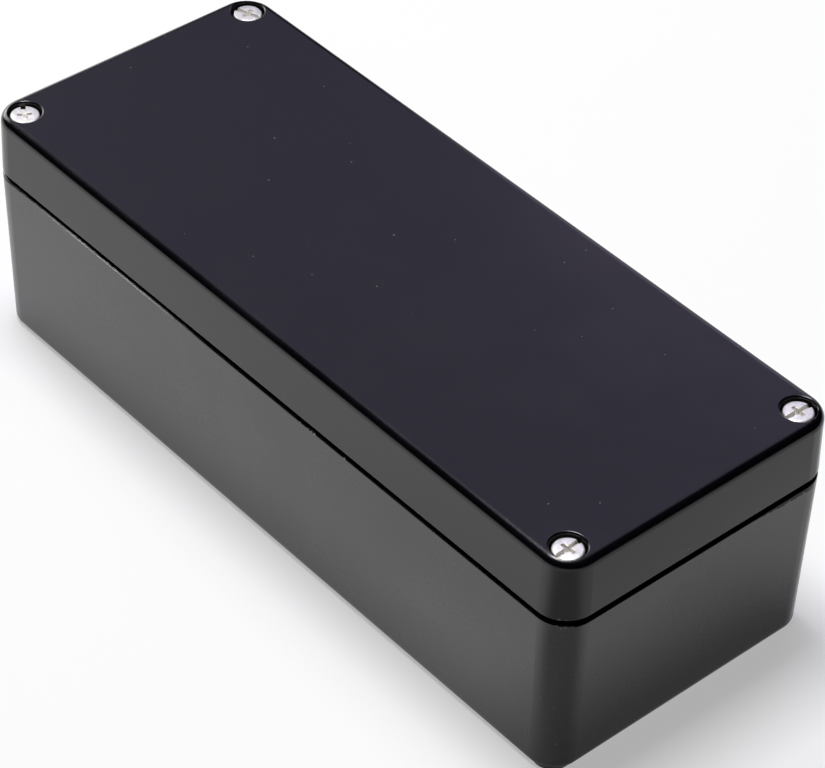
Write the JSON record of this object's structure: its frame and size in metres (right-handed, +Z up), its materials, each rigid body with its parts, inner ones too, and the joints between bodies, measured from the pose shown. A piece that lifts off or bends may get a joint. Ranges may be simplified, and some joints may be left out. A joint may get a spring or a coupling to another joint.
{
  "type": "plastic project box",
  "caption": "Long rectangular moulded enclosure with a lift-off sealed lid held by captive corner screws, with brass inserts for boards and holes for wall fixing.",
  "frame": {"origin": "centre of the underside, on the surface that the box stands on", "axes": "+X along the length, +Y across the width, +Z up through the lid; the front is the long side facing -Y"},
  "size_m": [0.19, 0.075, 0.0585],
  "materials": {
    "base_plastic": "satin moulded black glass-filled polyester",
    "lid_plastic": "satin moulded black glass-filled polyester",
    "seal_rubber": "matt black soft rubber",
    "screw_steel": "bright plated steel with a faint golden tint in the recesses",
    "washer_nylon": "natural nylon",
    "insert_brass": "turned brass"
  },
  "bodies": {
    "base": {"base": "base_plastic", "corner_insert_front_left": "insert_brass", "corner_insert_front_right": "insert_brass", "corner_insert_back_right": "insert_brass", "corner_insert_back_left": "insert_brass", "boss_insert_front_left": "insert_brass", "boss_insert_front_middle": "insert_brass", "boss_insert_front_right": "insert_brass", "boss_insert_back_right": "insert_brass", "boss_insert_back_middle": "insert_brass", "boss_insert_back_left": "insert_brass"},
    "lid": {"lid": "lid_plastic", "lid_gasket": "seal_rubber"},
    "washer_front_left": {"retaining_washer_front_left": "washer_nylon"},
    "screw_front_left": {"lid_screw_front_left": "screw_steel"},
    "washer_front_right": {"retaining_washer_front_right": "washer_nylon"},
    "screw_front_right": {"lid_screw_front_right": "screw_steel"},
    "washer_back_right": {"retaining_washer_back_right": "washer_nylon"},
    "screw_back_right": {"lid_screw_back_right": "screw_steel"},
    "washer_back_left": {"retaining_washer_back_left": "washer_nylon"},
    "screw_back_left": {"lid_screw_back_left": "screw_steel"}
  },
  "joints": [
    {"name": "lid_lift", "type": "slide", "parent": "base", "child": "lid", "axis": [0, 0, 1], "range_m": [0, 0.08]},
    {"name": "screw_rise_front_left", "type": "slide", "parent": "lid", "child": "washer_front_left", "axis": [0, 0, 1], "range_m": [0, 0.007]},
    {"name": "screw_turn_front_left", "type": "hinge", "parent": "washer_front_left", "child": "screw_front_left", "pos_m": [-0.0888, -0.03145, 0.0554], "axis": [0, 0, 1], "range_deg": [0, 3600]},
    {"name": "screw_rise_front_right", "type": "slide", "parent": "lid", "child": "washer_front_right", "axis": [0, 0, 1], "range_m": [0, 0.007]},
    {"name": "screw_turn_front_right", "type": "hinge", "parent": "washer_front_right", "child": "screw_front_right", "pos_m": [0.0888, -0.03145, 0.0554], "axis": [0, 0, 1], "range_deg": [0, 3600]},
    {"name": "screw_rise_back_right", "type": "slide", "parent": "lid", "child": "washer_back_right", "axis": [0, 0, 1], "range_m": [0, 0.007]},
    {"name": "screw_turn_back_right", "type": "hinge", "parent": "washer_back_right", "child": "screw_back_right", "pos_m": [0.0888, 0.03145, 0.0554], "axis": [0, 0, 1], "range_deg": [0, 3600]},
    {"name": "screw_rise_back_left", "type": "slide", "parent": "lid", "child": "washer_back_left", "axis": [0, 0, 1], "range_m": [0, 0.007]},
    {"name": "screw_turn_back_left", "type": "hinge", "parent": "washer_back_left", "child": "screw_back_left", "pos_m": [-0.0888, 0.03145, 0.0554], "axis": [0, 0, 1], "range_deg": [0, 3600]}
  ],
  "couplings": [
    {"joint": "screw_turn_front_left", "follows": "screw_rise_front_left", "rad_per_m": 8976},
    {"joint": "screw_turn_front_right", "follows": "screw_rise_front_right", "rad_per_m": 8976},
    {"joint": "screw_turn_back_right", "follows": "screw_rise_back_right", "rad_per_m": 8976},
    {"joint": "screw_turn_back_left", "follows": "screw_rise_back_left", "rad_per_m": 8976}
  ]
}
